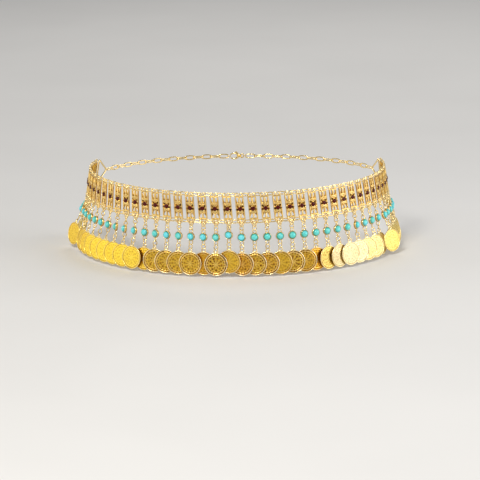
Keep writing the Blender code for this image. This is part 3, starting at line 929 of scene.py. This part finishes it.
class WAISTCHAIN_OT_drop_rings(bpy.types.Operator):
    """Add the rings of the drops, above and below each bezel"""

    bl_idname = "waist_chain.drop_rings"
    bl_label = "Drop Rings"

    def execute(self, context):
        settings = context.scene.waist_chain_rings
        gold = plate(context, "ring gold", roughness=0.24)
        random = np.random.default_rng(7)
        shapes = [ring_pairs(range(UNITS), STRANDS, settings.wire)]
        flip = np.where(np.arange(UNITS) % 2 == 0, 1.0, -1.0)
        for level, half_width, half_height, turn, is_flipped, lift_share, push_share in DROP_RINGS:
            turns = turn * (flip if is_flipped else 1.0) + random.uniform(*RING_SWINGS, UNITS)
            rolls = np.radians(random.uniform(*RING_ROLLS, UNITS))
            push = COIN_PUSH * push_share
            places = drop_seats(level * MM, np.radians(turns), push, rolls, lift_share)
            ring = wire_loop(oval(half_width * MM, half_height * MM), settings.wire, section=5)
            shapes.append(repeated(ring, places))
        add_piece("drop_rings", joined(shapes), gold, STRETCH_NODES, sharp=75.0)
        return {"FINISHED"}


class WAISTCHAIN_OT_bezels(bpy.types.Operator):
    """Add the fluted cups that hold the turquoise"""

    bl_idname = "waist_chain.bezels"
    bl_label = "Bezels"

    def execute(self, context):
        settings = context.scene.waist_chain_stones
        gold = plate(context, "bezel gold", roughness=0.31)
        radius, level, fluting = np.array(BEZEL_ROWS).T
        wave = np.cos(np.arange(BEZEL_SIDES) * math.pi)
        rows = settings.bezel_radius * (radius[:, None] + FLUTING * fluting[:, None] * wave)
        # Painted shade in every other flute
        recess = fluting[:, None] * np.where(wave < 0, FLUTING_SHADE, 0.0)
        cup = turned(rows, level * MM, BEZEL_SIDES, recess)
        # Pale painted highlight on the upper rim of the cup
        cup.marks["worn"] = np.clip(cup.points[:, 2] / MM - 0.6, 0.0, 0.8)
        shape = repeated(cup, drop_seats(BEZEL_LEVEL, STONE_TURNS))
        add_piece("bezels", shape, gold, STRETCH_NODES, sharp=55.0)
        return {"FINISHED"}


class WAISTCHAIN_OT_turquoise(bpy.types.Operator):
    """Add the domed turquoise stones"""

    bl_idname = "waist_chain.turquoise"
    bl_label = "Turquoise"

    def execute(self, context):
        settings = context.scene.waist_chain_stones
        turquoise = turquoise_material("turquoise", settings.turquoise, settings.vein_and_edge_shade)
        radius, level = dome(*TURQUOISE_DOME)
        radius *= settings.turquoise_radius
        # Painted shade towards the foot of the dome, where it meets the setting
        edge = np.clip(1.05 - 1.2 * level, 0.0, 1.0) ** 1.3
        stone = turned(radius, level * settings.turquoise_dome, sides=28, recess=edge)
        stone.points[:, 2] += SHEET / 2 + CABOCHON_GAP_MM * MM
        shape = repeated(stone, drop_seats(BEZEL_LEVEL, STONE_TURNS))
        nodes = TURQUOISE_NODES
        add_piece("turquoise_domes", shape, turquoise, nodes, sharp=70.0)
        return {"FINISHED"}


def coin_face(radius, angle, settings):
    """Height of a coin's design above its field, as a share of the relief, and how much painted
    shade it gets, by the distance from the middle as a share of the radius.

    From the rim in: a groove with painted shade in the gaps of its teeth, a beaded ring, a row of
    dots of painted shade, a plain ring, a band of leaves with painted shade in the gaps, and a low
    rosette round a boss, with painted shade between its petals. The painted shade is patchy, by the
    product of two cosines that run round and across the coin.
    """
    radius, angle = np.broadcast_arrays(radius, angle)
    counts = (settings.teeth, 0.75 * settings.teeth, settings.petals + 1, settings.petals)
    tooth, dot, leaf, petal = (0.5 + 0.5 * np.cos(count * angle) for count in counts)
    patches = 0.85 + 0.3 * np.cos(3 * angle + 4 * radius) * np.cos(5 * angle - 7 * radius)
    border = ridge(radius - 0.8, 0.045) * (0.55 + 0.45 * tooth)
    band = 0.7 * ridge(radius - 0.52, 0.1) * leaf ** 0.5
    ring = 0.6 * ridge(radius - 0.62, 0.025)
    rosette = 0.6 * ridge(radius - 0.27, 0.14) * petal ** 0.5
    boss = 0.7 * ridge(radius, 0.1)
    # Painted shade in the hollows of the design
    gaps = ridge(radius - 0.88, 0.04) * (1.0 - 0.5 * tooth)
    dots = ridge(radius - 0.705, 0.05) * dot ** 0.8
    blots = 0.8 * ridge(radius - 0.5, 0.09) * (1.0 - leaf)
    lines = 0.8 * ridge(radius - 0.28, 0.13) * (1.0 - petal) ** 1.5
    height = np.maximum.reduce((border, band, ring, rosette, boss))
    return height, np.maximum.reduce((gaps, dots, blots, lines)) * patches


def coin_shape(settings, relief, spin):
    """A coin: a field sunk inside a raised round rim, with the design on its front at the given
    share of the relief, turned by spin, a plain back with a flat border, and a lug on top for its
    loop. The crests of the design, the rim and the lug get a pale painted highlight, and the
    hollows of the design, the groove inside the rim and the step on the back get painted shade."""
    angle = 2 * math.pi * np.arange(COIN_SIDES) / COIN_SIDES
    field = np.array(FIELD_ROWS)
    back, back_level, back_hollow = np.array(COIN_BACK).T
    half = settings.thickness / 2
    design, dark = coin_face(field[:, None], angle + spin, settings)
    tilt = np.linspace(math.pi, 0.0, RIM_ROWS)
    radius = np.concatenate((field, RIM_MIDDLE + RIM_HALF_WIDTH * np.cos(tilt), back))
    # Painted shade in the groove inside the rim and in the design's hollows, deeper where the
    # relief is higher
    groove = ridge(field - GROOVE_MIDDLE, GROOVE_WIDTH) * (0.2 + relief)
    hollow_shade = np.clip(np.maximum(dark * (0.2 + 1.3 * relief), groove[:, None]), 0.0, 1.0)
    rim_level = half - RIM_RISE + RIM_RISE * np.sin(tilt)
    level = np.concatenate((half - RIM_RISE + 0.0 * field, rim_level, back_level * MM - half))
    level = np.tile(level[:, None], COIN_SIDES)
    level[:len(field)] += design * settings.relief * relief
    recess = np.tile(np.append(np.zeros(RIM_ROWS), back_hollow)[:, None], COIN_SIDES)
    recess = np.concatenate((hollow_shade, recess))
    coin = turned(radius * settings.radius, level, COIN_SIDES, recess)
    away = np.hypot(coin.points[:, 0], coin.points[:, 1]) / settings.radius
    # Pale painted highlight on the crests and the rim of the front, none on the back
    crests = np.interp(away, *np.array(COIN_CRESTS).T)
    highlight_share = np.where(away > FIELD_ROWS[-1], 0.25 + relief, 1.2 * relief)
    coin.marks["worn"] = np.clip(crests * highlight_share * (coin.points[:, 2] > 0.0), 0.0, 1.0)
    half_width, half_height, distance, bulge = LUG
    lug = ball(settings.radius, settings.thickness * bulge, rows=7, sides=12)
    shift = (0.0, distance * settings.radius, 0.0)
    lug = shifted(lug, (half_width, half_height, 1.0), shift)
    # Pale painted highlight on the lug
    lug.marks["worn"] = np.full(len(lug.points), LUG_HIGHLIGHT)
    return joined([coin, lug])


class WAISTCHAIN_OT_coins(bpy.types.Operator):
    """Add the coins, lapped as they hang, three to a stretch"""

    bl_idname = "waist_chain.coins"
    bl_label = "Coins"

    def execute(self, context):
        settings = context.scene.waist_chain_coins
        gold = gold_material("coin gold", settings.gold, settings.hollow_shade, roughness=0.3, with_painted_light=True)
        random = np.random.default_rng(23)
        spins = random.uniform(0.0, 2 * math.pi, UNITS)
        places = drop_seats(COIN_LEVEL, COIN_TURNS, COIN_PUSH)
        for units, node in zip(STRETCHES, STRETCH_NODES):
            coins = []
            for unit in units:
                coin = coin_shape(settings, int(COIN_RELIEF[unit]) / 10, spins[unit])
                # Painted light for the whole coin, from a pale painted glare to a reddish painted
                # shade
                coin.marks["tone"] = np.full(len(coin.points), int(COIN_PAINTED_LIGHT[unit]) / 10)
                coins.append(repeated(coin, Seats(*(part[[unit]] for part in places))))
            add_piece(f"coins_{node[-2:]}", joined(coins), gold, [node], sharp=60.0)
        return {"FINISHED"}


def closing_shape(side, settings):
    """One side's closing: a three-cornered yoke, then oval links in turn level and edgeways, as far
    as the clasp."""
    bar = (UNITS - 1) * PITCH / 2 + side * BAND_SHIFT + PANEL_EDGE + YOKE_START
    tip = bar + YOKE_LENGTH
    reach = HALF_WAIST - CLASP_LENGTH / 2 - CLASP_GAP
    corners = ((bar, YOKE_TOP_MM * MM), (tip + YOKE_OVERRUN, 0.0), (bar, YOKE_FOOT_MM * MM))
    path = rounded(np.array(corners) * (side, 1.0), per_side=16, softness=5)
    yoke = wire_loop(path, settings.yoke_wire, section=8)
    yoke.points[:, 2] += SHEET / 2
    shapes = [outward(laid(yoke))]
    step = (reach - tip - LINK_LENGTH) / (CHAIN_LINKS - 0.5)
    middles = tip + step * (np.arange(CHAIN_LINKS) + 0.5) + LINK_LENGTH / 2
    for half_height, turn, steps in LINK_KINDS:
        path = oval(LINK_LENGTH / 2 - settings.wire, half_height, 20, LINK_FULLNESS)
        places = seats(side * (middles - steps * step), 0.0, SHEET / 2, 0.0, 0.0, turn)
        shapes.append(repeated(wire_loop(path, settings.wire), places))
    return joined(shapes)


class WAISTCHAIN_OT_closing_chain(bpy.types.Operator):
    """Add the yoke and the plain chain at each end of the band"""

    bl_idname = "waist_chain.closing_chain"
    bl_label = "Closing Chain"

    def execute(self, context):
        settings = context.scene.waist_chain_closing
        gold = plate(context, "chain gold", roughness=0.22)
        for side, end in ((1, "right"), (-1, "left")):
            shape = closing_shape(side, settings)
            node = f"closing_chain_{end}"
            add_piece(f"{node}_links", shape, gold, [node], sharp=75.0)
        return {"FINISHED"}


class WAISTCHAIN_OT_clasp(bpy.types.Operator):
    """Add the lobster clasp: its eye, its claw, and the lever with its thumb piece"""

    bl_idname = "waist_chain.clasp"
    bl_label = "Clasp"

    def execute(self, context):
        gold = plate(context, "clasp gold", roughness=0.2)
        turn = 2 * math.pi * np.arange(40) / 40
        even, inner, top = CLAW_WIRE_MM
        claw_wire = (even + inner * np.cos(turn + math.pi) + top * np.sin(turn)) * MM
        claw = wire_loop(oval(*CLAW[:2], len(turn)) + (CLAW[2], 0.0), claw_wire, section=10)
        eye = wire_loop(oval(*EYE[:2], around=24) + (EYE[2], 0.0), EYE_WIRE, section=8)
        knob = ball(*KNOB, rows=9, sides=14)
        shape = joined([claw, eye, *(shifted(knob, size, shift) for size, shift in KNOBS)])
        shape.points[:, 0] += HALF_WAIST - CLASP_LENGTH / 2
        shape.points[:, 2] += CLASP_STAND
        add_piece("lobster_clasp", laid(shape), gold, ["clasp"], sharp=60.0)
        return {"FINISHED"}


# Stage


def add_light(name, place, size, power, colour):
    """A soft rectangular light that looks at the lit point."""
    lamp = bpy.data.lights.new(name, "AREA")
    lamp.shape = "RECTANGLE"
    lamp.size, lamp.size_y = size
    lamp.energy = power
    lamp.color = colour
    light = add_object(name, lamp)
    aim = (Vector(LIT_POINT) - Vector(place)).to_track_quat("-Z", "Y")
    light.matrix_world = Matrix.LocRotScale(Vector(place), aim, None)


class WAISTCHAIN_OT_stage(bpy.types.Operator):
    """Add the pale floor, the soft lights and the camera"""

    bl_idname = "waist_chain.stage"
    bl_label = "Stage"

    def execute(self, context):
        settings = context.scene.waist_chain_stage
        mesh = bpy.data.meshes.new("floor")
        corners = [(x * FLOOR_REACH, y * FLOOR_REACH, settings.floor_level)
                   for x, y in ((-1, -1), (1, -1), (1, 1), (-1, 1))]
        mesh.from_pydata(corners, [], [(0, 1, 2, 3)])
        matt = {"Roughness": 0.7}
        mesh.materials.append(mottled_material("pale floor", settings.floor, 6.0, 0.97, matt))
        floor = add_object("floor", mesh)
        world = bpy.data.worlds.new("soft daylight")
        world.use_nodes = True
        backdrop = world.node_tree.nodes["Background"]
        backdrop.inputs["Color"].default_value = DAYLIGHT
        backdrop.inputs["Strength"].default_value = DAYLIGHT_STRENGTH * settings.light
        context.scene.world = world
        context.scene.view_settings.view_transform = "Standard"
        for name, place, size, power, colour in LIGHTS:
            add_light(name, place, size, power * settings.light, colour)
        camera = add_object("camera", bpy.data.cameras.new("camera"))
        camera.data.sensor_width = 36.0
        camera.data.lens = settings.lens
        camera.data.clip_end = 60.0
        level_turn = Matrix.Rotation(math.pi / 2 - settings.elevation, 3, "X")
        place = level_turn @ Vector((0.0, 0.0, settings.distance))
        aim = level_turn @ Vector((*settings.aim, 0.0))
        turn = (aim - place).to_track_quat("-Z", "Y").to_matrix()
        turn = turn @ Matrix.Rotation(settings.roll, 3, "Z")
        camera.matrix_world = Matrix.LocRotScale(place, turn, None)
        context.scene.camera = camera
        return {"FINISHED"}


PIECES = (
    WAISTCHAIN_OT_filigree_panels,
    WAISTCHAIN_OT_red_stones,
    WAISTCHAIN_OT_link_rings,
    WAISTCHAIN_OT_drop_rings,
    WAISTCHAIN_OT_bezels,
    WAISTCHAIN_OT_turquoise,
    WAISTCHAIN_OT_coins,
    WAISTCHAIN_OT_closing_chain,
    WAISTCHAIN_OT_clasp,
    WAISTCHAIN_OT_stage,
)

SETTINGS = {
    "waist_chain_panels": PanelSettings,
    "waist_chain_stones": StoneSettings,
    "waist_chain_rings": RingSettings,
    "waist_chain_coins": CoinSettings,
    "waist_chain_closing": ClosingSettings,
    "waist_chain_stage": StageSettings,
}


class WAISTCHAIN_PT_sidebar(bpy.types.Panel):
    """Buttons for the pieces, and the sizes and colours that they are made with"""

    bl_idname = "WAISTCHAIN_PT_sidebar"
    bl_label = "Waist Chain"
    bl_space_type = "VIEW_3D"
    bl_region_type = "UI"
    bl_category = "Waist Chain"

    def draw(self, context):
        for piece in PIECES:
            self.layout.operator(piece.bl_idname)
        for name, group in SETTINGS.items():
            box = self.layout.box()
            box.label(text=name.replace("waist_chain_", "").capitalize())
            for setting in group.__annotations__:
                box.prop(getattr(context.scene, name), setting)


CLASSES = (*SETTINGS.values(), *PIECES, WAISTCHAIN_PT_sidebar)


def register():
    for one in CLASSES:
        bpy.utils.register_class(one)
    for name, group in SETTINGS.items():
        setattr(bpy.types.Scene, name, bpy.props.PointerProperty(type=group))


def unregister():
    for name in SETTINGS:
        delattr(bpy.types.Scene, name)
    for one in reversed(CLASSES):
        bpy.utils.unregister_class(one)


def main():
    register()
    for piece in PIECES:
        getattr(bpy.ops.waist_chain, piece.bl_idname.partition(".")[2])()


if __name__ == "__main__":
    main()
